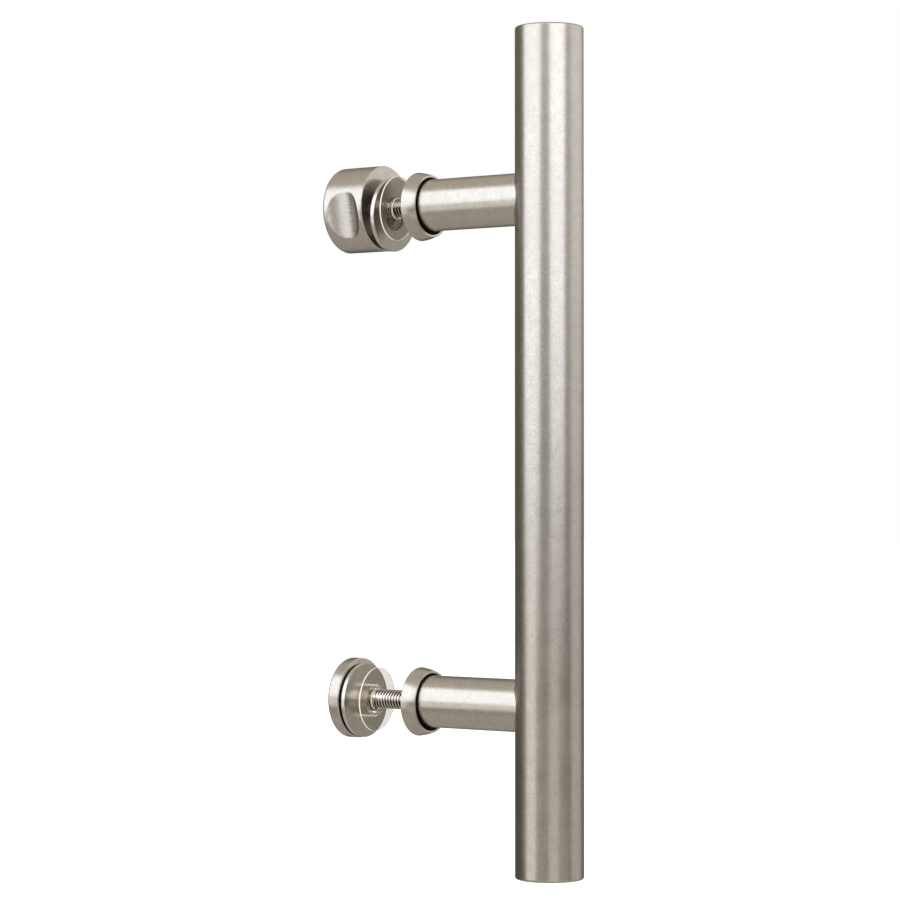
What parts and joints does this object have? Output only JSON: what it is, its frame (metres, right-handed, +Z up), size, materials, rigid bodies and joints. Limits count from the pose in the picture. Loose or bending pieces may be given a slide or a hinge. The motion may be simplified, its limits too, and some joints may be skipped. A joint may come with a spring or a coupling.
{
  "type": "barn door pull",
  "caption": "Round bar pull on two posts that bolts through a glass sliding door, with a scooped knob and a flat cap on the far side.",
  "frame": {"origin": "on the door face, midway between the two stud axes", "axes": "+Z up along the bar, +Y from the bar into the door and on to the knob and cap, +X across the door"},
  "size_m": [0.0354, 0.1138, 0.3392],
  "materials": {
    "satin_nickel": "satin nickel, fine brushed",
    "plain_steel": "plain zinc-plated steel",
    "black_rubber": "matt black",
    "clear_plastic": "clear, smooth"
  },
  "bodies": {
    "root": {"bar_tube": "satin_nickel", "top_end_plug": "satin_nickel", "bottom_end_plug": "satin_nickel", "upper_post": "satin_nickel", "lower_post": "satin_nickel", "upper_saddle_washer": "plain_steel", "lower_saddle_washer": "plain_steel", "upper_post_screw": "plain_steel", "lower_post_screw": "plain_steel", "upper_seat_ring": "black_rubber", "lower_seat_ring": "black_rubber", "upper_collar": "satin_nickel", "lower_collar": "satin_nickel", "upper_stud": "satin_nickel", "lower_stud": "satin_nickel", "upper_clear_washer": "clear_plastic", "lower_clear_washer": "clear_plastic", "upper_metal_washer": "satin_nickel", "lower_metal_washer": "satin_nickel", "upper_clear_sleeve": "clear_plastic", "lower_clear_sleeve": "clear_plastic", "knob": "satin_nickel", "lower_cap": "satin_nickel"}
  },
  "joints": []
}
